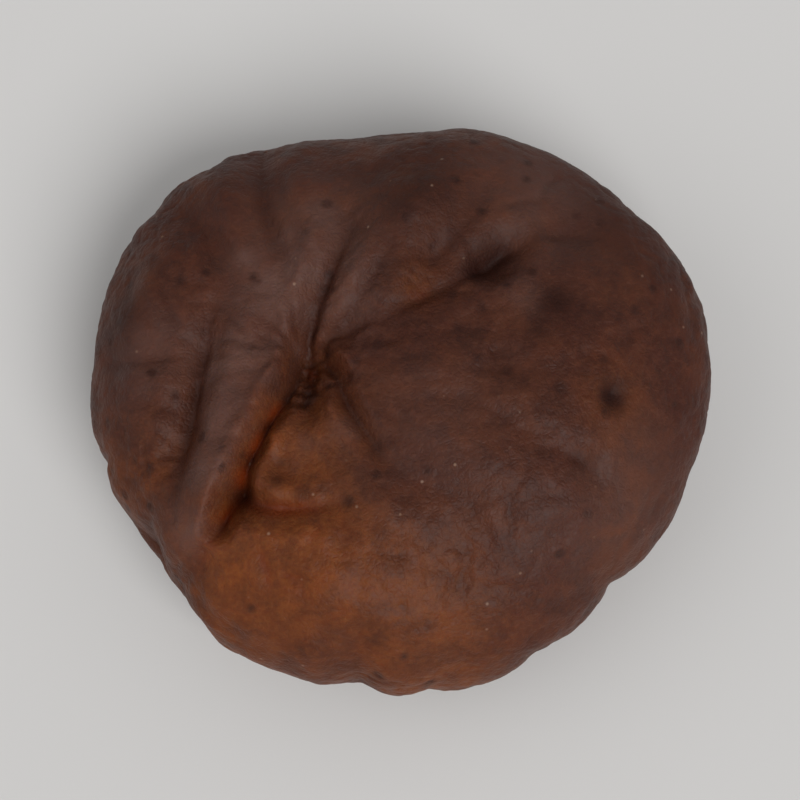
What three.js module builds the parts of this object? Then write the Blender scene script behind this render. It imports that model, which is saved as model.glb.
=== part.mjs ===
import * as THREE from 'three';
import { mergeVertices } from 'three/addons/utils/BufferGeometryUtils.js';

// A whole dried apricot, stoned before drying: one leathery cushion of flesh that lies on its flatter side.
// The stem end is a puckered hole off the middle of the upper side. The suture runs from it down and left
// as the deepest groove, and the rest of the skin is drawn into lobes, folds and wrinkles.
// Millimetres, +Z up. The origin is on the surface that it lies on, under the middle of its bounding box.

// Driving sizes
const WIDTH = 32;
const LENGTH = 30;
const THICKNESS = 13;
const PUCKER = { x: -4.8, y: 0.9 };
const BLOSSOM_END = { x: 5.2, y: -2.6 };

// The smooth cushion, before anything is drawn in
const HALF_WIDTH = 0.49 * WIDTH;
const HALF_LENGTH = 0.49 * LENGTH;
const TOP_HEIGHT = 0.51 * THICKNESS;
const UNDER_HEIGHT = 0.43 * THICKNESS;
const BLUNTNESS = 0.8;
const RIM_WARP = 0.9;
const RIM_WARP_TURN = 1.1;
const OUTLINE_WAVES = [
  { count: 2, size: 0.012, turn: 0.5 },
  { count: 3, size: 0.022, turn: 1.0 },
  { count: 4, size: 0.014, turn: 3.0 },
  { count: 5, size: 0.012, turn: 0.4 },
  { count: 7, size: 0.006, turn: 2.0 },
];

// How the skin is drawn in
const CREASE_SOFTNESS = 0.4;
const SHOULDER = { rise: 0.3, at: 2.3, spread: 1.1 };
const FOLD_STEPS = 28;
const DEEPEST = 4.2;
const PRESSED_FLAT = 0.6;

// The net of triangles, which is drawn together towards the pucker, where the folds are finest, and across
// the roll beside the suture, where they are steepest
const NET_DETAIL = 23;
const GATHERED = 0.8;
const CROWDED = { share: 0.5, spread: 5 };

const SKIN = new THREE.MeshStandardMaterial({ color: 0x6b3d24, roughness: 0.55, metalness: 0 });

// Directions from the middle of the fruit. top and under give the one that meets the upper or the lower
// side at x, y in plan, and rim gives one at an angle round the rim: rise is 1 at the top and -1 below.
function top(x, y) {
  const plan = new THREE.Vector2(x / HALF_WIDTH, y / HALF_LENGTH).clampLength(0, 0.999);
  return new THREE.Vector3(plan.x, plan.y, Math.sqrt(1 - plan.lengthSq()));
}

function under(x, y) {
  const direction = top(x, y);
  direction.z *= -1;
  return direction;
}

function rim(degrees, rise) {
  const angle = THREE.MathUtils.degToRad(degrees);
  const level = Math.sqrt(1 - rise * rise);
  return new THREE.Vector3(level * Math.cos(angle), level * Math.sin(angle), rise);
}

// The point at a distance and an angle from x, y in plan
function around(centre, distance, angle) {
  return [centre.x + distance * Math.cos(angle), centre.y + distance * Math.sin(angle)];
}

// The point of the smooth cushion that lies in a direction
function cushion(direction) {
  const { x, y, z } = direction;
  const azimuth = Math.atan2(y, x);
  let outline = 1;
  for (const wave of OUTLINE_WAVES) {
    outline += wave.size * Math.cos(wave.count * azimuth - wave.turn);
  }
  const half = z > 0 ? TOP_HEIGHT : UNDER_HEIGHT;
  const height = half * Math.sign(z) * Math.abs(z) ** BLUNTNESS;
  const warp = RIM_WARP * Math.cos(2 * azimuth - RIM_WARP_TURN) * Math.hypot(x, y) ** 3;
  return new THREE.Vector3(HALF_WIDTH * outline * x, HALF_LENGTH * outline * y, height + warp);
}

function outward(direction) {
  const half = direction.z > 0 ? TOP_HEIGHT : UNDER_HEIGHT;
  const { x, y, z } = direction;
  return new THREE.Vector3(x / HALF_WIDTH, y / HALF_LENGTH, z / half).normalize();
}

// Seeded draws, the same on every run
function makeDraw(seed) {
  let state = seed;
  return (low, high) => {
    state = (state * 1664525 + 1013904223) % 4294967296;
    return low + ((high - low) * state) / 4294967296;
  };
}

// Lobes and hollows: the skin rises by rise at a place, and the rise spreads that far round it
const SWELLS = [
  { at: top(6.3, -4.0), rise: 1.5, spread: 7.4 }, // the broad dome on the right
  { at: top(10.0, 4.6), rise: 0.5, spread: 4.6 },
  { at: top(-3.6, -10.0), rise: 1.2, spread: 4.6 }, // the cheek at the front
  { at: top(-12.2, 3.4), rise: 0.5, spread: 3.2 }, // the left lobe
  { at: top(2.2, 10.0), rise: 1.0, spread: 4.2 }, // the back lobes
  { at: top(-8.6, 9.4), rise: 0.9, spread: 3.8 },
  { at: top(-4.8, 0.9), rise: -1.4, spread: 3.3 }, // the hollow that the pucker lies in
  { at: top(-4.5, -0.7), rise: -0.9, spread: 1.4 }, // the scar of the stem, round a short slit
  { at: top(-4.5, -4.0), rise: -0.5, spread: 2.3 }, // the low tongue beside the suture
  { at: top(-7.4, -6.0), rise: -0.8, spread: 0.9 }, // the pocket at the suture's end
  { at: top(2.4, 3.6), rise: -0.4, spread: 2.6 },
  { at: top(4.7, 5.2), rise: -0.6, spread: 0.9 }, // the deep end of the groove behind the dome
  { at: rim(219, 0), rise: -1.5, spread: 4.2 }, // the rim falls in at the front left
  { at: rim(314, 0), rise: -0.6, spread: 4.0 },
  { at: under(BLOSSOM_END.x, BLOSSOM_END.y), rise: -0.6, spread: 2.2 },
  { at: under(0.4, 0.4), rise: 0.6, spread: 6.5 }, // the low middle of the underside, which it lies on
  { at: under(-9.0, 6.0), rise: 0.3, spread: 4.0 },
  { at: under(-7.0, -7.5), rise: 0.3, spread: 3.8 },
  { at: under(7.5, -8.0), rise: 0.3, spread: 3.8 },
];

// A crease's path runs from the first direction to the last, bent towards the one between. depth is at the
// middle, ends are the shares of it at the two ends, and width is how fast the walls open out.
const STEM_END = top(PUCKER.x, PUCKER.y);
const SCAR = under(BLOSSOM_END.x, BLOSSOM_END.y);
const CREASES = [
  // The slit in the scar
  { path: [top(-4.3, 1.6), top(-4.4, -0.2), top(-4.6, -2.1)], depth: 0.9, width: 0.6, ends: [0.6, 0.5] },
  // The suture, and its faint run on to the rim
  { path: [STEM_END, top(-7.0, -4.2), top(-8.1, -7.3)], depth: 1.4, width: 0.4, ends: [0.4, 0.7] },
  { path: [top(-8.0, -7.1), top(-9.3, -9.2), rim(226, 0.1)], depth: 0.4, width: 0.8, ends: [0.8, 0] },
  // The right edge of the tongue, its foot, and a wrinkle across it
  { path: [top(-3.7, 0.9), top(-1.8, -2.3), top(-0.1, -5.5)], depth: 0.7, width: 0.3, ends: [0.8, 0] },
  { path: [top(-7.5, -6.2), top(-5.0, -7.1), top(-2.0, -6.7)], depth: 0.7, width: 0.42, ends: [0.7, 0.1] },
  { path: [top(-5.8, -4.1), top(-5.3, -5.2), top(-4.2, -5.7)], depth: 0.3, width: 0.35, ends: [0.3, 0.3] },
  // The groove behind the dome, faint at first and deepest at its far end
  { path: [STEM_END, top(1.6, 2.8), top(5.6, 5.9)], depth: 0.5, width: 0.6, ends: [0.4, 1.6] },
  { path: [top(5.4, 5.8), top(8.6, 7.4), top(11.4, 5.7)], depth: 0.35, width: 0.8, ends: [0.9, 0] },
  // Folds from the pucker to the back, and behind the left lobe
  { path: [STEM_END, top(-3.4, 2.6), top(-2.0, 8.0)], depth: 0.9, width: 0.5, ends: [0.6, 0.1] },
  { path: [top(-3.4, 1.2), top(-2.2, 1.9), top(0.6, 7.4)], depth: 0.5, width: 0.5, ends: [0.7, 0] },
  { path: [top(-4.9, 4.6), top(-6.4, 7.9), top(-6.6, 12.6)], depth: 0.6, width: 0.7, ends: [0.1, 0.4] },
  { path: [top(-7.4, 5.6), top(-9.0, 7.4), top(-11.1, 9.2)], depth: 0.45, width: 0.7, ends: [0.1, 0.2] },
  { path: [top(-8.5, 3.8), top(-10.0, -0.7), top(-10.6, -7.2)], depth: 0.8, width: 0.5, ends: [0.2, 0.15] },
  // Faint creases on the dome
  { path: [top(-1.9, 0.9), top(1.8, 2.0), top(5.3, 0.9)], depth: 0.2, width: 0.7, ends: [0.8, 0] },
  { path: [top(6.6, -4.0), top(9.0, -4.2), top(10.2, -6.0)], depth: 0.3, width: 0.5, ends: [0.2, 0.2] },
  // The notch in the front rim, and the wrinkles left of it
  { path: [top(-1.6, -11.6), rim(264, 0.2), rim(265, -0.6)], depth: 0.4, width: 0.8, ends: [0.1, 0.6] },
  { path: [top(-8.2, -9.6), top(-6.6, -11.2), top(-4.4, -11.6)], depth: 0.14, width: 0.5, ends: [0.2, 0.2] },
  { path: [top(-4.2, -12.0), top(-2.8, -11.7), top(-1.4, -12.5)], depth: 0.2, width: 0.5, ends: [0.2, 0.2] },
  // The underside: the suture runs on to the blossom end, where the folds meet
  { path: [rim(222, -0.45), under(-2.4, -6.6), SCAR], depth: 0.9, width: 0.8, ends: [0.2, 0.5] },
  { path: [SCAR, under(8.4, 2.0), under(11.6, 6.0)], depth: 0.8, width: 0.8, ends: [0.4, 0.1] },
  { path: [SCAR, under(5.4, 5.0), under(0.6, 11.8)], depth: 0.8, width: 0.8, ends: [0.3, 0.2] },
  { path: [under(-4.4, -1.2), under(-7, 1.4), under(-12.4, 2.4)], depth: 0.8, width: 0.8, ends: [0.1, 0.2] },
  { path: [SCAR, under(7.0, -3.0), under(12.0, -3.6)], depth: 0.7, width: 0.8, ends: [0.4, 0.1] },
  { path: [SCAR, under(3.6, -6.0), under(1.4, -12.0)], depth: 0.8, width: 0.8, ends: [0.3, 0.2] },
];

// Rolls are folds that stand up along a path, height high at the middle and spread wide, with a round or
// a flat crown. A crest is pushed aside by its lean, in plan, so that it hangs over what lies beside it.
const UPRIGHT = [0, 0];
const ROUND = 2;
const FLAT = 4;
// The broad roll that leans over the suture
const SUTURE_ROLL = {
  path: [top(-6.1, 4.3), top(-6.3, -2.2), top(-10.9, -9.6)],
  height: 1.0,
  spread: 1.6,
  crown: FLAT,
  ends: [0.2, 0.1],
  lean: [0.5, -0.25],
};
const ROLLS = [
  SUTURE_ROLL,
  // The fold on the left lobe
  {
    path: [top(-10.3, 6.1), top(-13.1, 1.2), top(-12.3, -4.5)],
    height: 0.5,
    spread: 1.3,
    crown: ROUND,
    ends: [0.2, 0.2],
    lean: UPRIGHT,
  },
  // The folds that meet at the back of the pucker
  {
    path: [top(-4.2, 3.3), top(-4.6, 6.6), top(-4.2, 11.9)],
    height: 0.45,
    spread: 1.2,
    crown: ROUND,
    ends: [0.5, 0.2],
    lean: UPRIGHT,
  },
  {
    path: [top(-2.3, 3.8), top(0.3, 7.4), top(3.5, 9.5)],
    height: 0.4,
    spread: 1.3,
    crown: ROUND,
    ends: [0.5, 0.2],
    lean: UPRIGHT,
  },
];

// Pleats drawn in round the pucker like a purse's
function pleats(draw) {
  const count = 11;
  const found = [];
  for (let i = 0; i < count; i += 1) {
    const angle = (2 * Math.PI * (i + draw(-0.35, 0.35))) / count;
    const reach = draw(2.2, 4.0);
    const swing = draw(-0.3, 0.3);
    const depth = draw(0.15, 0.42);
    found.push({
      path: [
        top(...around(PUCKER, 0.6, angle)),
        top(...around(PUCKER, 0.55 * reach, angle + swing)),
        top(...around(PUCKER, reach, angle + swing)),
      ],
      depth,
      width: 0.36,
      ends: [1, 0],
    });
  }
  return found;
}

// Pinches that cross the rim, at a slant
function pinches(draw) {
  const count = 17;
  const found = [];
  for (let i = 0; i < count; i += 1) {
    const degrees = (360 * (i + draw(-0.45, 0.45))) / count;
    const lean = draw(-12, 12);
    const high = draw(0.05, 0.6);
    const low = draw(-0.8, -0.4);
    const bend = draw(-6, 6);
    const depth = draw(0.08, 0.45);
    const width = draw(0.55, 1.0);
    found.push({
      path: [
        rim(degrees - lean, high),
        rim(degrees + bend, (high + low) / 2),
        rim(degrees + lean, low),
      ],
      depth,
      width,
      ends: [0.05, 0.1],
    });
  }
  return found;
}

// Wrinkles that fan out round a centre, on one side of the fruit
function wrinkles(draw, side, centre, count, near, far, depths) {
  const found = [];
  for (let i = 0; i < count; i += 1) {
    const angle = (2 * Math.PI * (i + draw(-0.45, 0.45))) / count;
    const start = draw(...near);
    const end = draw(...far);
    const swing = draw(-0.45, 0.45);
    const depth = draw(...depths);
    const width = draw(0.45, 0.85);
    found.push({
      path: [
        side(...around(centre, start, angle)),
        side(...around(centre, (start + end) / 2, angle + swing)),
        side(...around(centre, end, angle + 0.3 * swing)),
      ],
      depth,
      width,
      ends: [0.1, 0.1],
    });
  }
  return found;
}

// Small swells and dents, scattered over the whole skin
function unevenness(draw) {
  const count = 60;
  const found = [];
  for (let i = 0; i < count; i += 1) {
    const rise = draw(-0.95, 0.95);
    const degrees = draw(0, 360);
    found.push({ at: rim(degrees, rise), rise: draw(-0.3, 0.3), spread: draw(1.4, 3.0) });
  }
  return found;
}

const FOLD_SEED = 11;
const SWELL_SEED = 19;
const DOME_FAN = { x: 0.6 * PUCKER.x, y: 0.6 * PUCKER.y };
const draw = makeDraw(FOLD_SEED);
const allCreases = [
  ...CREASES,
  ...pleats(draw),
  ...pinches(draw),
  ...wrinkles(draw, under, { x: 0, y: 0 }, 17, [5, 7.5], [9, 12.5], [0.2, 0.55]),
  ...wrinkles(draw, top, DOME_FAN, 19, [4.5, 7.5], [8, 13], [0.12, 0.38]),
];
const allSwells = [...SWELLS, ...unevenness(makeDraw(SWELL_SEED))];

// The direction that lies a share t of the way along a path
function pathDirection([start, bend, end], t) {
  const direction = start.clone().multiplyScalar((1 - t) ** 2);
  direction.addScaledVector(bend, 2 * t * (1 - t));
  return direction.addScaledVector(end, t * t).normalize();
}

// The line that a crease or a roll draws on the cushion
for (const fold of [...allCreases, ...ROLLS]) {
  fold.line = [];
  for (let step = 0; step < FOLD_STEPS; step += 1) {
    fold.line.push(cushion(pathDirection(fold.path, step / (FOLD_STEPS - 1))));
  }
}
for (const swell of allSwells) {
  swell.point = cushion(swell.at);
}

// How far a point is from a line, and how far along the line its nearest point is, from 0 to 1
function nearest(point, line) {
  const span = new THREE.Vector3();
  const reach = new THREE.Vector3();
  let distance = Infinity;
  let along = 0;
  for (let i = 0; i + 1 < line.length; i += 1) {
    span.subVectors(line[i + 1], line[i]);
    reach.subVectors(point, line[i]);
    const share = THREE.MathUtils.clamp(reach.dot(span) / span.lengthSq(), 0, 1);
    const length = reach.addScaledVector(span, -share).length();
    if (length < distance) {
      distance = length;
      along = (i + share) / (line.length - 1);
    }
  }
  return { distance, along };
}

// A fold grows from its start to its full strength at the middle, and dies down to its end
function strengthAlong(along, [start, end]) {
  const middle = 4 * along * (1 - along);
  return start + (end - start) * along + middle * (1 - (start + end) / 2);
}

// A crease has steep walls, a soft bottom, and a low swell along each shoulder
function creaseRise(crease, point) {
  const { distance, along } = nearest(point, crease.line);
  const out = (Math.hypot(distance, CREASE_SOFTNESS) - CREASE_SOFTNESS) / crease.width;
  const shoulder = SHOULDER.rise * Math.exp(-(((out - SHOULDER.at) / SHOULDER.spread) ** 2));
  return crease.depth * strengthAlong(along, crease.ends) * (shoulder - Math.exp(-out));
}

// How much of a roll's height and lean a point has
function rollShare(roll, point) {
  const { distance, along } = nearest(point, roll.line);
  return strengthAlong(along, roll.ends) * Math.exp(-((distance / roll.spread) ** roll.crown));
}

// Moves a point of the smooth cushion to the skin. Deep places level off at DEEPEST.
function drawIn(point, normal) {
  let rise = 0;
  for (const swell of allSwells) {
    rise += swell.rise * Math.exp(-point.distanceToSquared(swell.point) / swell.spread ** 2);
  }
  for (const crease of allCreases) {
    rise += creaseRise(crease, point);
  }
  const moved = point.clone();
  for (const roll of ROLLS) {
    const share = rollShare(roll, point);
    rise += roll.height * share;
    moved.x += roll.lean[0] * share;
    moved.y += roll.lean[1] * share;
  }
  return moved.addScaledVector(normal, rise < 0 ? DEEPEST * Math.tanh(rise / DEEPEST) : rise);
}

// Slides a direction towards another, so that the net is finer there
function gather(direction, towards) {
  const c = direction.dot(towards);
  const squeeze = GATHERED * GATHERED;
  const closer = (1 + c - squeeze * (1 - c)) / (1 + c + squeeze * (1 - c));
  const side = direction.clone().addScaledVector(towards, -c);
  if (side.length() < 1e-9) {
    return direction.clone();
  }
  side.setLength(Math.sqrt(Math.max(1 - closer * closer, 0)));
  return side.addScaledVector(towards, closer);
}

// Slides a direction towards the middle of a roll, so that the net is finer across it
function crowd(direction, roll) {
  const { distance, along } = nearest(cushion(direction), roll.line);
  const share = CROWDED.share * Math.exp(-((distance / CROWDED.spread) ** 2));
  return direction.clone().lerp(pathDirection(roll.path, along), share).normalize();
}

function fruitGeometry() {
  const net = new THREE.IcosahedronGeometry(1, NET_DETAIL);
  net.deleteAttribute('normal');
  net.deleteAttribute('uv');
  const geometry = mergeVertices(net);
  const position = geometry.attributes.position;
  const towards = STEM_END.clone().normalize();
  const skin = [];
  for (let i = 0; i < position.count; i += 1) {
    const even = new THREE.Vector3().fromBufferAttribute(position, i).normalize();
    const direction = crowd(gather(even, towards), SUTURE_ROLL);
    skin.push(drawIn(cushion(direction), outward(direction)));
  }
  // The underside is pressed flat where it bears on the surface
  const floor = Math.min(...skin.map((point) => point.z)) + PRESSED_FLAT;
  skin.forEach((point, i) => position.setXYZ(i, point.x, point.y, Math.max(point.z, floor)));

  // Trued up to the driving sizes, and stood on the origin
  geometry.computeBoundingBox();
  const size = geometry.boundingBox.getSize(new THREE.Vector3());
  const middle = geometry.boundingBox.getCenter(new THREE.Vector3());
  geometry.translate(-middle.x, -middle.y, -floor);
  geometry.scale(WIDTH / size.x, LENGTH / size.y, THICKNESS / size.z);
  geometry.computeVertexNormals();
  return geometry;
}

const fruit = new THREE.Mesh(fruitGeometry(), SKIN);
fruit.name = 'dried_apricot';

const group = new THREE.Group();
group.add(fruit);

export default group;
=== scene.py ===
import math
from collections import namedtuple
from itertools import combinations

import bpy
import numpy as np
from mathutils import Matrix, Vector, noise


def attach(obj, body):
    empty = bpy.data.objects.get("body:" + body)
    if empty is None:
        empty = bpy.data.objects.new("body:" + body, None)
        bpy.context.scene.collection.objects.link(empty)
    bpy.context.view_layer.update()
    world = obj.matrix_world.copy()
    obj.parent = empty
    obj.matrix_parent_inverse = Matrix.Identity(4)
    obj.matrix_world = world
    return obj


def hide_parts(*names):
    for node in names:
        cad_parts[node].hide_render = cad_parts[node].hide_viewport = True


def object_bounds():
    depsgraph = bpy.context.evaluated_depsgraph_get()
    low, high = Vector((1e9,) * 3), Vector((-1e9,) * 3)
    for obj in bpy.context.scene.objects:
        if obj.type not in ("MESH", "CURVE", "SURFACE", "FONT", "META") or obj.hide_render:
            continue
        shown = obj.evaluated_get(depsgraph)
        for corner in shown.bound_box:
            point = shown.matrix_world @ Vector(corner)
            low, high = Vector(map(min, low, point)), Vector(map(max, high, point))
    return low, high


# A whole dried apricot, stoned before drying, on a pale floor. Its form is worked out in millimetres by the
# formula that the solid follows, on a finer net, with the fine wrinkles added, and is then fitted to the
# solid's box in metres. The pucker is off the middle of the upper side, and the suture runs from it down
# and left.

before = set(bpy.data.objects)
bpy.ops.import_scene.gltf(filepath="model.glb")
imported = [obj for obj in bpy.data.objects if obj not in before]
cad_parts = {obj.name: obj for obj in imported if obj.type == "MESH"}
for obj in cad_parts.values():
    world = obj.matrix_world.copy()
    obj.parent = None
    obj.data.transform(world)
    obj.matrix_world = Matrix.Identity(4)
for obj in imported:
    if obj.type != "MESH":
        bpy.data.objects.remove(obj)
solid_low, solid_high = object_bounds()

MM = 0.001
SOLID = "dried_apricot"

# Sizes and places in millimetres, as in the solid
WIDTH, LENGTH, THICKNESS = ((high - low) / MM for low, high in zip(solid_low, solid_high))
PUCKER = (-4.8, 0.9)
BLOSSOM_END = (5.2, -2.6)
HALF_WIDTH = 0.49 * WIDTH
HALF_LENGTH = 0.49 * LENGTH
TOP_HEIGHT = 0.51 * THICKNESS
UNDER_HEIGHT = 0.43 * THICKNESS
BLUNTNESS = 0.8
RIM_WARP = 0.9
RIM_WARP_TURN = 1.1
OUTLINE_WAVES = [(2, 0.012, 0.5), (3, 0.022, 1.0), (4, 0.014, 3.0), (5, 0.012, 0.4), (7, 0.006, 2.0)]
SHOULDER_RISE, SHOULDER_AT, SHOULDER_SPREAD = 0.3, 2.3, 1.1
FOLD_STEPS = 28
DEEPEST = 4.2
PRESSED_FLAT = 0.6
GATHERED = 0.8
PLAN_LIMIT = 0.999
ROUND = 2
FLAT = 4

# Finer than in the solid
NET_PARTS = 98
CREASE_SOFTNESS = 0.16
FINE_SOFTNESS = 0.5 * CREASE_SOFTNESS

# How many of its own widths a fold reaches to each side
FOLD_REACH = 8

# Painted shade: a crease darkens the skin's colour along its bottom, this share of its width to each side,
# and most at this depth
BOTTOM_SHARE = 0.9
FULL_SHADE_DEPTH = 0.9
# The fine creases' painted shade is made this many times stronger
FINE_SHADE_GAIN = 2.5

# The fine relief: how large its features are, and its height, from where the skin is smoothest to where it
# is roughest
STREAK_SIZE = 1.5
STREAK_HEIGHT = 0.12
LEATHER_SIZE = 1.3
LEATHER_HEIGHT = (0.03, 0.09)
GRAIN_SIZE = 0.55
GRAIN_HEIGHT = (0.015, 0.04)
RAGGED_SIZE = 0.55
RAGGED_HEIGHT = 0.5
PATCH_SIZE = 6.0
SWIRL_SIZE = 3.0
SWIRL_PUSH = 0.5

# The streaks fan out from a point this far inside the skin. Their noise runs fast round that point, and
# slowly along each of them.
FAN_DEPTH = 2
FAST_ROUND = 9
SLOW_ALONG = 0.22

# How fast the narrow valleys between leather cells open out
VALLEY_WIDTH = 0.18

# Stands in for a length of 0 where something is divided by it
TINY = 1e-9


# Directions from the middle of the fruit

def unit(vectors):
    return vectors / np.linalg.norm(vectors, axis=-1, keepdims=True)


def top(x, y):
    """The direction that meets the upper side at x, y in plan, kept just inside the rim."""
    plan = np.array([x / HALF_WIDTH, y / HALF_LENGTH])
    plan *= min(1, PLAN_LIMIT / max(np.linalg.norm(plan), TINY))
    return np.array([*plan, math.sqrt(1 - plan @ plan)])


def under(x, y):
    return top(x, y) * [1, 1, -1]


def rim(degrees, rise):
    """A direction at an angle round the rim. rise is 1 at the top and -1 below."""
    level = math.sqrt(1 - rise * rise)
    return np.array([level * math.cos(math.radians(degrees)), level * math.sin(math.radians(degrees)), rise])


def around(centre, distance, angle):
    return centre[0] + distance * math.cos(angle), centre[1] + distance * math.sin(angle)


def cushion(directions):
    """The points of the smooth cushion that lie in those directions."""
    x, y, z = np.moveaxis(directions, -1, 0)
    azimuth = np.arctan2(y, x)
    outline = 1 + sum(size * np.cos(count * azimuth - turn) for count, size, turn in OUTLINE_WAVES)
    half = np.where(z > 0, TOP_HEIGHT, UNDER_HEIGHT)
    height = half * np.sign(z) * np.abs(z) ** BLUNTNESS
    warp = RIM_WARP * np.cos(2 * azimuth - RIM_WARP_TURN) * np.hypot(x, y) ** 3
    return np.stack([HALF_WIDTH * outline * x, HALF_LENGTH * outline * y, height + warp], -1)


def outward(directions):
    half = np.where(directions[..., 2] > 0, TOP_HEIGHT, UNDER_HEIGHT)
    x, y, z = np.moveaxis(directions, -1, 0)
    return unit(np.stack([x / HALF_WIDTH, y / HALF_LENGTH, z / half], -1))


def make_draw(seed):
    """Seeded draws, the same as in the solid."""
    state = seed

    def draw(low, high):
        nonlocal state
        state = (state * 1664525 + 1013904223) % 4294967296
        return low + (high - low) * state / 4294967296

    return draw


# The lobes, creases and rolls of the solid. A fold runs from its start to its end, bent towards over. height
# is a crease's depth or a roll's height at the middle, and ends are the shares of it at the two ends. A
# roll's crest is pushed aside by its lean, in plan, and its crown is round or flat.

Swell = namedtuple("Swell", "at rise spread")
Fold = namedtuple("Fold", "start over end height width ends lean crown", defaults=[(0, 0), ROUND])

STEM_END = top(*PUCKER)
SCAR = under(*BLOSSOM_END)

SWELLS = [
    # The broad dome on the right
    Swell(top(6.3, -4.0), 1.5, 7.4),
    Swell(top(10.0, 4.6), 0.5, 4.6),
    # The cheek at the front, the left lobe, and the back lobes
    Swell(top(-3.6, -10.0), 1.2, 4.6),
    Swell(top(-12.2, 3.4), 0.5, 3.2),
    Swell(top(2.2, 10.0), 1.0, 4.2),
    Swell(top(-8.6, 9.4), 0.9, 3.8),
    # The hollow that the pucker lies in, and the scar of the stem, round a short slit
    Swell(top(-4.8, 0.9), -1.4, 3.3),
    Swell(top(-4.5, -0.7), -0.9, 1.4),
    # The low tongue beside the suture, and the pocket at the suture's end
    Swell(top(-4.5, -4.0), -0.5, 2.3),
    Swell(top(-7.4, -6.0), -0.8, 0.9),
    # The groove behind the dome, and its deep end
    Swell(top(2.4, 3.6), -0.4, 2.6),
    Swell(top(4.7, 5.2), -0.6, 0.9),
    # The rim falls in at the front left, and a little at the front right
    Swell(rim(219, 0), -1.5, 4.2),
    Swell(rim(314, 0), -0.6, 4.0),
    # The blossom scar, and the low middle of the underside, which the fruit lies on
    Swell(SCAR, -0.6, 2.2),
    Swell(under(0.4, 0.4), 0.6, 6.5),
    Swell(under(-9.0, 6.0), 0.3, 4.0),
    Swell(under(-7.0, -7.5), 0.3, 3.8),
    Swell(under(7.5, -8.0), 0.3, 3.8),
]

CREASES = [
    # The slit in the scar
    Fold(top(-4.3, 1.6), top(-4.4, -0.2), top(-4.6, -2.1), 0.9, 0.6, (0.6, 0.5)),
    # The suture, and its faint run on to the rim
    Fold(STEM_END, top(-7.0, -4.2), top(-8.1, -7.3), 1.4, 0.4, (0.4, 0.7)),
    Fold(top(-8.0, -7.1), top(-9.3, -9.2), rim(226, 0.1), 0.4, 0.8, (0.8, 0)),
    # The right edge of the tongue, its foot, and a wrinkle across it
    Fold(top(-3.7, 0.9), top(-1.8, -2.3), top(-0.1, -5.5), 0.7, 0.3, (0.8, 0)),
    Fold(top(-7.5, -6.2), top(-5.0, -7.1), top(-2.0, -6.7), 0.7, 0.42, (0.7, 0.1)),
    Fold(top(-5.8, -4.1), top(-5.3, -5.2), top(-4.2, -5.7), 0.3, 0.35, (0.3, 0.3)),
    # The groove behind the dome, faint at first and deepest at its far end
    Fold(STEM_END, top(1.6, 2.8), top(5.6, 5.9), 0.5, 0.6, (0.4, 1.6)),
    Fold(top(5.4, 5.8), top(8.6, 7.4), top(11.4, 5.7), 0.35, 0.8, (0.9, 0)),
    # Folds from the pucker to the back, and behind the left lobe
    Fold(STEM_END, top(-3.4, 2.6), top(-2.0, 8.0), 0.9, 0.5, (0.6, 0.1)),
    Fold(top(-3.4, 1.2), top(-2.2, 1.9), top(0.6, 7.4), 0.5, 0.5, (0.7, 0)),
    Fold(top(-4.9, 4.6), top(-6.4, 7.9), top(-6.6, 12.6), 0.6, 0.7, (0.1, 0.4)),
    Fold(top(-7.4, 5.6), top(-9.0, 7.4), top(-11.1, 9.2), 0.45, 0.7, (0.1, 0.2)),
    Fold(top(-8.5, 3.8), top(-10.0, -0.7), top(-10.6, -7.2), 0.8, 0.5, (0.2, 0.15)),
    # Faint creases on the dome
    Fold(top(-1.9, 0.9), top(1.8, 2.0), top(5.3, 0.9), 0.2, 0.7, (0.8, 0)),
    Fold(top(6.6, -4.0), top(9.0, -4.2), top(10.2, -6.0), 0.3, 0.5, (0.2, 0.2)),
    # The notch in the front rim, and the wrinkles left of it
    Fold(top(-1.6, -11.6), rim(264, 0.2), rim(265, -0.6), 0.4, 0.8, (0.1, 0.6)),
    Fold(top(-8.2, -9.6), top(-6.6, -11.2), top(-4.4, -11.6), 0.14, 0.5, (0.2, 0.2)),
    Fold(top(-4.2, -12.0), top(-2.8, -11.7), top(-1.4, -12.5), 0.2, 0.5, (0.2, 0.2)),
    # The underside: the suture runs on to the blossom end, where the folds meet
    Fold(rim(222, -0.45), under(-2.4, -6.6), SCAR, 0.9, 0.8, (0.2, 0.5)),
    Fold(SCAR, under(8.4, 2.0), under(11.6, 6.0), 0.8, 0.8, (0.4, 0.1)),
    Fold(SCAR, under(5.4, 5.0), under(0.6, 11.8), 0.8, 0.8, (0.3, 0.2)),
    Fold(under(-4.4, -1.2), under(-7.0, 1.4), under(-12.4, 2.4), 0.8, 0.8, (0.1, 0.2)),
    Fold(SCAR, under(7.0, -3.0), under(12.0, -3.6), 0.7, 0.8, (0.4, 0.1)),
    Fold(SCAR, under(3.6, -6.0), under(1.4, -12.0), 0.8, 0.8, (0.3, 0.2)),
]

ROLLS = [
    # The broad roll that leans over the suture
    Fold(top(-6.1, 4.3), top(-6.3, -2.2), top(-10.9, -9.6), 1.0, 1.6, (0.2, 0.1), (0.5, -0.25), FLAT),
    # The fold on the left lobe
    Fold(top(-10.3, 6.1), top(-13.1, 1.2), top(-12.3, -4.5), 0.5, 1.3, (0.2, 0.2)),
    # The folds that meet at the back of the pucker
    Fold(top(-4.2, 3.3), top(-4.6, 6.6), top(-4.2, 11.9), 0.45, 1.2, (0.5, 0.2)),
    Fold(top(-2.3, 3.8), top(0.3, 7.4), top(3.5, 9.5), 0.4, 1.3, (0.5, 0.2)),
]


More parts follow.
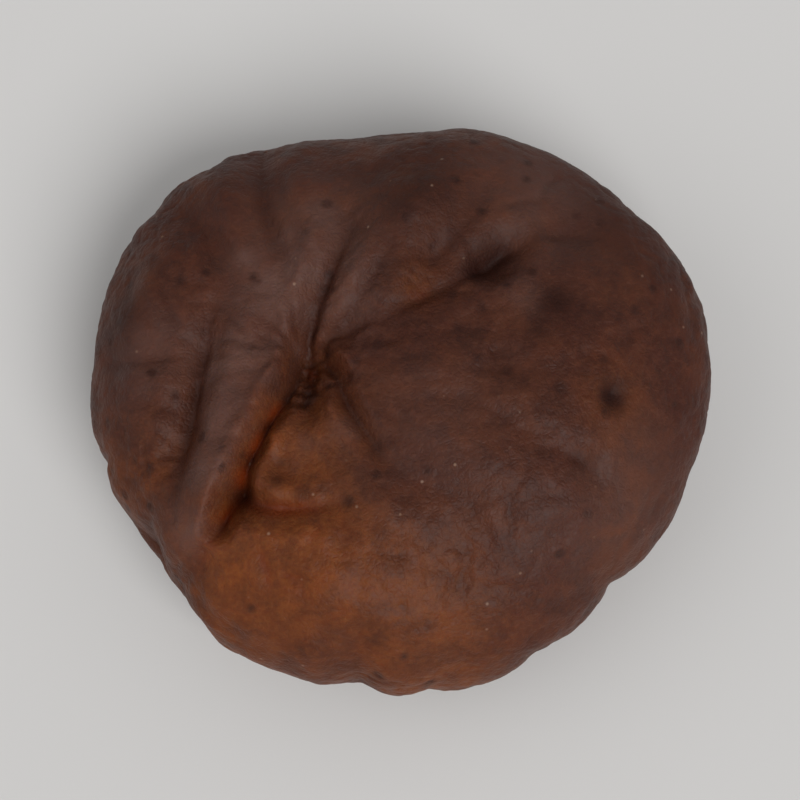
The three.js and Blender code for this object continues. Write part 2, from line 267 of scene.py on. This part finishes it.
def pleats(draw):
    """Pleats drawn in round the pucker like a purse's."""
    count = 11
    width = 0.36
    found = []
    for i in range(count):
        angle = 2 * math.pi * (i + draw(-0.35, 0.35)) / count
        reach = draw(2.2, 4.0)
        swing = draw(-0.3, 0.3)
        depth = draw(0.15, 0.42)
        start = top(*around(PUCKER, 0.6, angle))
        over = top(*around(PUCKER, 0.55 * reach, angle + swing))
        end = top(*around(PUCKER, reach, angle + swing))
        found.append(Fold(start, over, end, depth, width, (1, 0)))
    return found


def pinches(draw):
    """Pinches that cross the rim, at a slant."""
    count = 17
    found = []
    for i in range(count):
        degrees = 360 * (i + draw(-0.45, 0.45)) / count
        lean = draw(-12, 12)
        high = draw(0.05, 0.6)
        low = draw(-0.8, -0.4)
        bend = draw(-6, 6)
        depth = draw(0.08, 0.45)
        width = draw(0.55, 1.0)
        start = rim(degrees - lean, high)
        over = rim(degrees + bend, (high + low) / 2)
        end = rim(degrees + lean, low)
        found.append(Fold(start, over, end, depth, width, (0.05, 0.1)))
    return found


def wrinkles(draw, side, centre, count, near, far, depths):
    """Wrinkles that fan out round a centre, on one side of the fruit."""
    found = []
    for i in range(count):
        angle = 2 * math.pi * (i + draw(-0.45, 0.45)) / count
        start = draw(*near)
        end = draw(*far)
        swing = draw(-0.45, 0.45)
        depth = draw(*depths)
        width = draw(0.45, 0.85)
        path = [(start, angle), ((start + end) / 2, angle + swing), (end, angle + 0.3 * swing)]
        found.append(Fold(*(side(*around(centre, *stop)) for stop in path), depth, width, (0.1, 0.1)))
    return found


def unevenness(draw):
    """Small swells and dents, scattered over the whole skin."""
    count = 60
    found = []
    for _ in range(count):
        rise = draw(-0.95, 0.95)
        degrees = draw(0, 360)
        found.append(Swell(rim(degrees, rise), draw(-0.3, 0.3), draw(1.4, 3.0)))
    return found


FOLD_SEED = 11
SWELL_SEED = 19
FAN_CENTRE = (0.6 * PUCKER[0], 0.6 * PUCKER[1])
draw = make_draw(FOLD_SEED)
all_creases = [
    *CREASES,
    *pleats(draw),
    *pinches(draw),
    *wrinkles(draw, under, (0, 0), count=17, near=(5, 7.5), far=(9, 12.5), depths=(0.2, 0.55)),
    *wrinkles(draw, top, FAN_CENTRE, count=19, near=(4.5, 7.5), far=(8, 13), depths=(0.12, 0.38)),
]
all_swells = [*SWELLS, *unevenness(make_draw(SWELL_SEED))]


# Detail that is finer than the solid's

def fine_pleats(draw):
    """Thin pleats of the skin in the hollow, between the large ones."""
    count = 26
    width = 0.2
    found = []
    for i in range(count):
        angle = 2 * math.pi * (i + draw(-0.4, 0.4)) / count
        near = draw(0.7, 1.5)
        reach = near + draw(1.0, 3.2)
        swing = draw(-0.35, 0.35)
        depth = draw(0.06, 0.16)
        path = [(near, angle), ((near + reach) / 2, angle + swing), (reach, angle + 0.5 * swing)]
        found.append(Fold(*(top(*around(PUCKER, *stop)) for stop in path), depth, width, (0.7, 0)))
    return found


def short_wrinkles(draw):
    """Short thin wrinkles all over, most of them drawn towards the pucker or the blossom end."""
    count = 150
    crosswise = 0.2
    found = []
    for _ in range(count):
        rise = draw(-0.9, 0.9)
        middle = rim(draw(0, 360), rise)
        goal = STEM_END if rise > 0 else SCAR
        pull = unit(goal - middle * (goal @ middle))
        across = np.cross(middle, pull)
        turn = draw(-0.8, 0.8) + (math.pi / 2 if draw(0, 1) < crosswise else 0)
        along = math.cos(turn) * pull + math.sin(turn) * across
        half = draw(0.04, 0.15)
        bow = draw(-0.05, 0.05) * np.cross(middle, along)
        depth = draw(0.04, 0.14)
        width = draw(0.2, 0.4)
        start = unit(middle - half * along)
        end = unit(middle + half * along)
        found.append(Fold(start, unit(middle + bow), end, depth, width, (0.05, 0.05)))
    return found


FINE_SEED = 5
fine_draw = make_draw(FINE_SEED)
fine_creases = [*fine_pleats(fine_draw), *short_wrinkles(fine_draw)]

# The small dark dimple near the right rim
DIMPLE = (10.3, -1.5)
dimple = Swell(top(*DIMPLE), -0.45, 0.65)


def line_of(fold):
    """Points along a fold, on the smooth cushion."""
    t = np.linspace(0, 1, FOLD_STEPS)[:, None]
    return cushion(unit((1 - t) ** 2 * fold.start + 2 * t * (1 - t) * fold.over + t * t * fold.end))


def nearest(points, line):
    """How far each point is from a line, and how far along it the nearest place is, from 0 to 1."""
    distance = np.full(len(points), np.inf)
    along = np.zeros(len(points))
    for i, (start, end) in enumerate(zip(line[:-1], line[1:])):
        span = end - start
        reach = points - start
        share = np.clip(reach @ span / (span @ span), 0, 1)
        length = np.linalg.norm(reach - share[:, None] * span, axis=1)
        closer = length < distance
        distance[closer] = length[closer]
        along[closer] = (i + share[closer]) / (len(line) - 1)
    return distance, along


def near_fold(points, fold):
    """The points that a fold reaches, how far they are from it, and its strength beside them."""
    line = line_of(fold)
    reach = FOLD_REACH * fold.width
    inside = (points > line.min(0) - reach).all(1) & (points < line.max(0) + reach).all(1)
    where = np.flatnonzero(inside)
    distance, along = nearest(points[where], line)
    start, end = fold.ends
    straight = start + (end - start) * along
    strength = straight + 4 * along * (1 - along) * (1 - (start + end) / 2)
    return where, distance, strength


def crease_rise(points, creases, softness):
    """How far creases lift the skin, and how near each point is to the bottom of a deep one, from 0 to 1,
    which sets the shade painted along the crease.
    """
    rise = np.zeros(len(points))
    crease_shade_share = np.zeros(len(points))
    for fold in creases:
        where, distance, strength = near_fold(points, fold)
        depth = fold.height * strength
        out = (np.hypot(distance, softness) - softness) / fold.width
        shoulder = SHOULDER_RISE * np.exp(-(((out - SHOULDER_AT) / SHOULDER_SPREAD) ** 2))
        rise[where] += depth * (shoulder - np.exp(-out))
        near = np.exp(-((distance / (BOTTOM_SHARE * fold.width)) ** 2))
        crease_shade_share[where] = np.maximum(crease_shade_share[where], np.clip(depth / FULL_SHADE_DEPTH, 0, 1) * near)
    return rise, crease_shade_share


def roll_rise(points, rolls):
    """How far rolls lift the skin, and how far they push it sideways."""
    rise = np.zeros(len(points))
    lean = np.zeros_like(points)
    for fold in rolls:
        where, distance, strength = near_fold(points, fold)
        share = strength * np.exp(-((distance / fold.width) ** fold.crown))
        rise[where] += fold.height * share
        lean[where, :2] += share[:, None] * fold.lean
    return rise, lean


def swell_rise(points, swells):
    rise = np.zeros(len(points))
    for swell in swells:
        apart = ((points - cushion(swell.at)) ** 2).sum(1)
        rise += swell.rise * np.exp(-apart / swell.spread**2)
    return rise


def geodesic(parts):
    """A sphere of even triangles: each face of an icosahedron is split into parts by parts of them."""
    golden = (1 + math.sqrt(5)) / 2
    corners = []
    for i in range(3):
        for one in (-1, 1):
            for long in (-golden, golden):
                corners.append(np.roll([0, one, long], i))
    corners = unit(np.array(corners, float))
    edge = min(np.linalg.norm(corners[0] - corner) for corner in corners[1:])
    faces = []
    for a, b, c in combinations(range(len(corners)), 3):
        sides = (corners[a] - corners[b], corners[b] - corners[c], corners[c] - corners[a])
        if all(np.linalg.norm(side) < 1.01 * edge for side in sides):
            outwards = np.linalg.det(corners[[a, b, c]]) > 0
            faces.append((a, b, c) if outwards else (a, c, b))
    points = []
    triangles = []
    for a, b, c in faces:
        place = {}
        for i in range(parts + 1):
            for j in range(parts + 1 - i):
                place[i, j] = len(points)
                points.append((corners[a] * (parts - i - j) + corners[b] * i + corners[c] * j) / parts)
        for i in range(parts):
            for j in range(parts - i):
                triangles.append((place[i, j], place[i + 1, j], place[i, j + 1]))
                if i + j < parts - 1:
                    triangles.append((place[i + 1, j], place[i + 1, j + 1], place[i, j + 1]))
    points = unit(np.array(points))
    _, first, shared = np.unique(np.round(points, 7), axis=0, return_index=True, return_inverse=True)
    return points[first], shared.reshape(-1)[np.array(triangles)]


def gather(directions, towards):
    """Slides directions towards one, so that the net is finer there."""
    c = directions @ towards
    squeeze = GATHERED * GATHERED
    closer = (1 + c - squeeze * (1 - c)) / (1 + c + squeeze * (1 - c))
    side = directions - c[:, None] * towards
    side /= np.maximum(np.linalg.norm(side, axis=1, keepdims=True), TINY)
    return closer[:, None] * towards + np.sqrt(np.maximum(1 - closer**2, 0))[:, None] * side


def skin_noise(points, size, octaves=2):
    """Smooth noise from -1 to 1 at points, with features of that size."""
    return np.array([noise.fractal(Vector(p), 1.0, 2.0, octaves) for p in points / size])


def ridged(values):
    """Turns smooth noise into a net of narrow valleys, 0 in the valleys and 1 far from them."""
    return 1 - np.exp(-np.abs(values) / VALLEY_WIDTH)


def drawn_out(points, goal):
    """Points moved so that noise read at them runs in streaks towards a goal."""
    pull = goal - points
    distance = np.linalg.norm(pull, axis=1, keepdims=True)
    return FAST_ROUND * pull / np.maximum(distance, TINY) + SLOW_ALONG * distance


def spots(points, places):
    """How strongly places, each a direction, a strength and a spread, mark each point, from 0 to 1."""
    mark = np.zeros(len(points))
    for at, strength, spread in places:
        apart = ((points - cushion(at)) ** 2).sum(1)
        mark = 1 - (1 - mark) * (1 - strength * np.exp(-apart / spread**2))
    return mark


def between(limits, share):
    return limits[0] + (limits[1] - limits[0]) * share


# Where the skin is torn and ragged: the scar of the stem, and a scuff on the left lobe
RAGGED = [(top(-4.4, 0.6), 0.9, 1.0), (top(-4.5, -1.4), 0.9, 1.1), (top(-12.2, -4.6), 0.45, 1.6)]


def fine_rise(points, directions):
    """The fine wrinkling of the whole skin. Each noise is read at an offset of its own."""
    up = np.clip(directions[:, 2] * 3 + 0.5, 0, 1)
    fan_top = drawn_out(points, cushion(STEM_END) - [0, 0, FAN_DEPTH])
    fan_under = drawn_out(points, cushion(SCAR) + [0, 0, FAN_DEPTH])
    swirl = SWIRL_PUSH * np.stack([skin_noise(points + k * 17.0, SWIRL_SIZE, 1) for k in range(3)], -1)
    streaks_top = up * skin_noise(fan_top + swirl, STREAK_SIZE)
    streaks_under = (1 - up) * skin_noise(fan_under + swirl + 31, STREAK_SIZE)
    leather = ridged(skin_noise(points + swirl + 5, LEATHER_SIZE))
    grain = ridged(skin_noise(points + 0.6 * swirl + 11, GRAIN_SIZE))
    torn = spots(points, RAGGED) * skin_noise(points + 0.3 * swirl + 23, RAGGED_SIZE)
    patchy = 0.5 + 0.5 * np.clip(1.6 * skin_noise(points + 40, PATCH_SIZE, 1) + 0.2, -1, 1)
    rise = STREAK_HEIGHT * (streaks_top + streaks_under) + RAGGED_HEIGHT * torn
    return rise + between(LEATHER_HEIGHT, patchy) * leather + between(GRAIN_HEIGHT, patchy) * grain


# Where the flesh shows amber through the skin, where a matt bloom greys it and painted highlights lighten
# it, and where it is darkest, partly from painted shade
AMBER = [
    # The tongue
    (top(-4.5, -3.8), 0.85, 2.2),
    # The cheek at the front
    (top(-4.6, -8.7), 0.95, 3.2),
    (top(-7.6, -9.7), 0.8, 2.8),
    (top(-2.3, -10.7), 0.6, 3.2),
    (top(1.7, -13.0), 0.4, 4.0),
    (top(2.5, -10.9), 0.2, 3.0),
    # The flank of the roll, down the suture
    (top(-6.4, -2.0), 0.8, 0.8),
    (top(-7.0, -3.6), 0.9, 0.8),
    (top(-7.5, -5.2), 0.9, 0.8),
    (top(-8.0, -7.0), 0.8, 0.8),
    # The scar, beside the tongue, the groove behind the dome, the dimple, and the left lobe
    (top(-4.4, 0.2), 0.5, 1.3),
    (top(-2.3, -3.3), 0.35, 1.3),
    (top(1.2, 4.0), 0.75, 1.1),
    (top(*DIMPLE), 0.45, 1.6),
    (top(-12.1, -5.1), 0.3, 1.8),
    # The rim and the underside
    (rim(200, 0.1), 0.4, 2.2),
    (rim(240, -0.2), 0.6, 4.5),
    (rim(275, -0.1), 0.4, 4.5),
    (under(9.0, -6.0), 0.5, 4.0),
    (under(-10.0, 3.0), 0.4, 4.0),
]
BLOOM_AND_HIGHLIGHTS = [
    # The flat of the roll: a grey bloom, partly a painted reflection
    (top(-8.1, 0.2), 0.9, 1.8),
    (top(-8.7, -2.6), 0.85, 1.2),
    (top(-9.0, -4.7), 0.8, 1.1),
    (top(-9.7, -7.4), 0.7, 1.3),
    # The middle of the tongue and the skin beside it
    (top(-4.2, -3.9), 0.3, 0.9),
    (top(-2.2, -3.2), 0.4, 0.9),
    # Painted highlights: small glints at the scar and on the fold behind it
    (top(-4.3, -1.4), 1.0, 0.25),
    (top(-5.1, 1.5), 0.8, 0.35),
    (top(-7.2, 5.4), 0.7, 0.6),
    # The folds behind the pucker, and the left lobe
    (top(-5.8, 3.7), 0.75, 2.2),
    (top(-3.9, 6.6), 0.7, 3.0),
    (top(-2.5, 3.4), 0.5, 1.6),
    (top(-12.2, 1.1), 0.5, 2.2),
    # The dome and the back
    (top(2.2, -2.9), 0.25, 3.0),
    (top(6.0, 3.0), 0.4, 0.9),
    (top(8.0, -8.3), 0.2, 2.0),
    (top(11.4, -6.0), 0.35, 3.4),
    (top(7.1, 9.3), 0.5, 4.0),
    (under(-3.0, 6.0), 0.4, 4.5),
    (under(5.0, -9.0), 0.4, 3.6),
]
DARK_AND_SHADE = [
    # The scar, and the groove behind the dome
    (top(-4.4, -0.9), 0.2, 0.7),
    (top(-4.6, -2.0), 0.2, 0.6),
    (top(1.2, 4.0), 0.4, 1.4),
    # Specks round the tongue, and painted shade in the pocket at the suture's end
    (top(-5.2, -4.6), 0.5, 0.3),
    (top(-5.3, -5.5), 0.5, 0.3),
    (top(-4.0, -6.1), 0.5, 0.3),
    (top(-3.3, -6.0), 0.4, 0.25),
    (top(-2.1, -6.7), 0.6, 0.35),
    (top(-0.6, -4.2), 0.5, 0.35),
    (top(0.0, -4.0), 0.4, 0.3),
    (top(-8.0, -7.4), 0.4, 0.4),
    # Painted shade in the dash at the groove's end, and patches on the dome
    (top(4.1, 4.9), 0.9, 0.9),
    (top(5.2, 5.6), 0.9, 0.9),
    (top(7.5, 2.7), 0.9, 0.9),
    (top(6.6, 1.4), 0.5, 0.6),
    (top(*DIMPLE), 1.0, 0.9),
    (top(8.8, -4.7), 0.5, 0.6),
    (top(6.9, -4.4), 0.3, 0.4),
    # The left edge, painted shade at the back, the front notch and the blossom scar
    (top(-13.2, 2.8), 0.6, 1.6),
    (top(1.2, 8.4), 0.5, 2.6),
    (top(10.7, 7.3), 0.3, 3.0),
    (top(-2.9, -12.3), 0.3, 0.6),
    (top(-0.7, -12.6), 0.3, 0.6),
    (SCAR, 0.8, 1.2),
]


def fruit_mesh():
    directions, triangles = geodesic(NET_PARTS)
    directions = gather(directions, unit(STEM_END))
    points = cushion(directions)

    rise, crease_shade_share = crease_rise(points, all_creases, CREASE_SOFTNESS)
    rolled, lean = roll_rise(points, ROLLS)
    rise += swell_rise(points, all_swells) + rolled
    rise = np.where(rise < 0, DEEPEST * np.tanh(rise / DEEPEST), rise)
    fine, fine_crease_shade_share = crease_rise(points, fine_creases, FINE_SOFTNESS)
    rise += fine + swell_rise(points, [dimple]) + fine_rise(points, directions)
    skin = points + outward(directions) * rise[:, None] + lean

    # Pressed flat where it bears, then fitted to the solid's box
    floor = skin[:, 2].min() + PRESSED_FLAT
    skin[:, 2] = np.maximum(skin[:, 2], floor)
    low, high = skin.min(0), skin.max(0)
    share = (skin - low) / (high - low)
    skin = np.array(solid_low) + share * (np.array(solid_high) - np.array(solid_low))

    mesh = bpy.data.meshes.new("apricot")
    mesh.from_pydata(skin.tolist(), [], triangles.tolist())
    mesh.validate()
    mesh.shade_smooth()
    # Colour marks: painted shade along crease bottoms, amber flesh, bloom with painted highlights, and dark
    # marks, some of them painted shade
    marks = {
        "crease_shade": np.maximum(crease_shade_share, FINE_SHADE_GAIN * fine_crease_shade_share),
        "amber": spots(points, AMBER),
        "bloom_and_highlight": spots(points, BLOOM_AND_HIGHLIGHTS),
        "dark_and_shade": spots(points, DARK_AND_SHADE),
    }
    for name, values in marks.items():
        layer = mesh.attributes.new(name, "FLOAT", "POINT")
        layer.data.foreach_set("value", values.astype(np.float32))
    return mesh


# Materials

def add(tree, kind, inputs=None, **settings):
    """Adds a node. A value in inputs is a number, a colour or the socket that feeds it."""
    made = tree.nodes.new(kind)
    for name, value in settings.items():
        setattr(made, name, value)
    for name, value in (inputs or {}).items():
        if isinstance(value, bpy.types.NodeSocket):
            tree.links.new(value, made.inputs[name])
        else:
            made.inputs[name].default_value = value
    return made


def new_material(name):
    material = bpy.data.materials.new(name)
    material.use_nodes = True
    return material, material.node_tree, material.node_tree.nodes["Principled BSDF"]


def srgb(red, green, blue):
    """A colour given in 0 to 255 steps, as a linear one."""
    linear = [((c / 255 + 0.055) / 1.055) ** 2.4 if c > 10 else c / 255 / 12.92 for c in (red, green, blue)]
    return (*linear, 1)


def math_node(tree, operation, a, b):
    return add(tree, "ShaderNodeMath", {0: a, 1: b}, operation=operation).outputs[0]


def blend_colour(tree, share, a, b, kind="MIX"):
    made = add(tree, "ShaderNodeMix", data_type="RGBA", blend_type=kind)
    for socket, value in zip((made.inputs[0], made.inputs[6], made.inputs[7]), (share, a, b)):
        if isinstance(value, bpy.types.NodeSocket):
            tree.links.new(value, socket)
        else:
            socket.default_value = value
    return made.outputs[2]


def spread_out(tree, value, low, high, to_low=0.0, to_high=1.0):
    """Maps low to high onto another range, clamped."""
    inputs = {"Value": value, "From Min": low, "From Max": high, "To Min": to_low, "To Max": to_high}
    return add(tree, "ShaderNodeMapRange", inputs, clamp=True).outputs["Result"]


def mark(tree, name):
    return add(tree, "ShaderNodeAttribute", attribute_name=name).outputs["Fac"]


def speckle(tree, place, scale, reach, share):
    """Round specks: 1 inside a speck. share is how many of the cells hold one."""
    cells = add(tree, "ShaderNodeTexVoronoi", {"Vector": place, "Scale": scale})
    chosen = add(tree, "ShaderNodeSeparateColor", {"Color": cells.outputs["Color"]})
    near = spread_out(tree, cells.outputs["Distance"], reach, 0.4 * reach)
    return math_node(tree, "MULTIPLY", near, spread_out(tree, chosen.outputs[0], share, share - 0.02))


def skin_material():
    material, tree, shader = new_material("dried_apricot_skin")
    place = add(tree, "ShaderNodeTexCoord").outputs["Object"]
    place = add(tree, "ShaderNodeVectorMath", {0: place, "Scale": 1 / MM}, operation="SCALE").outputs[0]

    def noise_at(scale, detail=3.0, distortion=0.0):
        inputs = {"Vector": place, "Scale": scale, "Detail": detail, "Distortion": distortion}
        return add(tree, "ShaderNodeTexNoise", inputs).outputs["Fac"]

    broad = noise_at(0.16, 2.0)
    mottle = noise_at(0.7, 5.0, 0.4)
    fine = noise_at(3.2, 4.0)
    grain = noise_at(9.0, 3.0)

    # The brown of the dome, redder and darker in patches
    skin = blend_colour(tree, spread_out(tree, broad, 0.35, 0.65), srgb(66, 31, 21), srgb(84, 45, 28))
    skin = blend_colour(tree, spread_out(tree, mottle, 0.38, 0.62, 0.0, 0.75), skin, srgb(55, 26, 18))
    skin = blend_colour(tree, spread_out(tree, fine, 0.45, 0.8, 0.0, 0.35), skin, srgb(98, 56, 38))

    # Flesh that shows amber, most of it where the skin is thin
    amber = math_node(tree, "MULTIPLY", mark(tree, "amber"), spread_out(tree, mottle, 0.3, 0.6, 1.0, 0.55))
    flesh = blend_colour(tree, spread_out(tree, fine, 0.25, 0.75), srgb(108, 50, 15), srgb(130, 70, 24))
    skin = blend_colour(tree, amber, skin, flesh)

    # A matt grey bloom on the rolls, partly a painted reflection, with painted glints near the scar
    bloom_and_highlight = math_node(tree, "MULTIPLY", mark(tree, "bloom_and_highlight"), spread_out(tree, mottle, 0.3, 0.65, 0.35, 0.8))
    skin = blend_colour(tree, bloom_and_highlight, skin, srgb(106, 77, 68))

    # Painted shade along the bottoms of creases, a darker brown, or a deep orange where the flesh shows;
    # then the darkest places near black, some of them painted shade
    crease_shade = spread_out(tree, mark(tree, "crease_shade"), 0.1, 0.9, 0.0, 0.85)
    orange = spread_out(tree, mark(tree, "amber"), 0.4, 0.9)
    crease_colour = blend_colour(tree, orange, srgb(58, 27, 17), srgb(116, 41, 9))
    skin = blend_colour(tree, crease_shade, skin, crease_colour)
    skin = blend_colour(tree, mark(tree, "dark_and_shade"), skin, srgb(38, 13, 6))

    # Dark freckles, and light specks that are painted glints
    freckles = speckle(tree, place, 0.8, 0.32, 0.3)
    freckles = math_node(tree, "MULTIPLY", freckles, spread_out(tree, fine, 0.3, 0.6, 0.2, 0.8))
    skin = blend_colour(tree, freckles, skin, srgb(44, 20, 14))
    glint_specks = speckle(tree, place, 1.9, 0.2, 0.05)
    skin = blend_colour(tree, math_node(tree, "MULTIPLY", glint_specks, 0.45), skin, srgb(160, 132, 112))

    tree.links.new(skin, shader.inputs["Base Color"])
    rough = spread_out(tree, fine, 0.3, 0.7, 0.42, 0.58)
    for matt in (bloom_and_highlight, mark(tree, "dark_and_shade")):
        rough = math_node(tree, "ADD", rough, math_node(tree, "MULTIPLY", matt, 0.2))
    tree.links.new(rough, shader.inputs["Roughness"])
    soft = math_node(tree, "ADD", math_node(tree, "MULTIPLY", amber, 0.35), 0.25)
    tree.links.new(soft, shader.inputs["Subsurface Weight"])
    shader.inputs["Subsurface Radius"].default_value = (1.0, 0.4, 0.15)
    shader.inputs["Subsurface Scale"].default_value = 1.3 * MM
    shader.inputs["Specular IOR Level"].default_value = 0.14
    shader.inputs["Coat Weight"].default_value = 0.03
    shader.inputs["Coat Roughness"].default_value = 0.3

    # Leather grain and hair-fine wrinkles, under a tenth of a millimetre deep
    cells = add(tree, "ShaderNodeTexVoronoi", {"Vector": place, "Scale": 3.4}, feature="DISTANCE_TO_EDGE")
    leather = spread_out(tree, cells.outputs["Distance"], 0.0, 0.25)
    height = math_node(tree, "MULTIPLY", leather, 0.3)
    for relief, share in ((fine, 0.9), (grain, 0.45)):
        height = math_node(tree, "ADD", height, math_node(tree, "MULTIPLY", relief, share))
    bump = add(tree, "ShaderNodeBump", {"Height": height, "Strength": 0.6, "Distance": 0.09 * MM})
    tree.links.new(bump.outputs["Normal"], shader.inputs["Normal"])
    return material


def floor_material():
    material, tree, shader = new_material("pale_floor")
    shader.inputs["Base Color"].default_value = (0.62, 0.61, 0.6, 1)
    shader.inputs["Roughness"].default_value = 0.6
    return material


# The fruit

fruit = bpy.data.objects.new("apricot", fruit_mesh())
bpy.context.scene.collection.objects.link(fruit)
fruit.data.materials.append(skin_material())
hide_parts(SOLID)
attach(fruit, "root")

# The floor

FLOOR_SIZE = 4.0
bpy.ops.mesh.primitive_plane_add(size=FLOOR_SIZE)
floor = bpy.context.object
floor.name = "floor"
floor.data.materials.append(floor_material())

# Light

MIDDLE = Vector((0, 0, 0.5 * THICKNESS * MM))


def aim(thing, target):
    thing.rotation_mode = "QUATERNION"
    thing.rotation_quaternion = (target - thing.location).to_track_quat("-Z", "Y")


def soft_light(name, place, spread, strength):
    """A light as wide as a studio softbox, which lights the floor evenly."""
    light = bpy.data.lights.new(name, "SUN")
    light.angle = math.radians(spread)
    light.energy = strength
    lamp = bpy.data.objects.new(name, light)
    lamp.location = place
    bpy.context.scene.collection.objects.link(lamp)
    aim(lamp, MIDDLE)


soft_light("key", (0.45, -0.8, 1.0), spread=34, strength=2.0)
soft_light("fill", (-1.0, -0.2, 0.9), spread=50, strength=0.4)

world = bpy.data.worlds.new("studio")
world.use_nodes = True
world.node_tree.nodes["Background"].inputs["Color"].default_value = (1, 1, 1, 1)
world.node_tree.nodes["Background"].inputs["Strength"].default_value = 0.42
bpy.context.scene.world = world

# The camera looks down on the puckered side, as the photograph does

CAMERA_ELEVATION = math.radians(74)
LENS = 100
SENSOR = 36
FRAME_SHARE = 0.78
distance = WIDTH * MM / FRAME_SHARE * LENS / SENSOR
camera = bpy.data.objects.new("camera", bpy.data.cameras.new("camera"))
camera.data.lens = LENS
camera.data.sensor_width = SENSOR
camera.data.clip_start = 0.01
camera.location = MIDDLE + distance * Vector((0, -math.cos(CAMERA_ELEVATION), math.sin(CAMERA_ELEVATION)))
aim(camera, MIDDLE)
bpy.context.scene.collection.objects.link(camera)
bpy.context.scene.camera = camera
bpy.context.scene.view_settings.view_transform = "Standard"

bpy.context.view_layer.update()
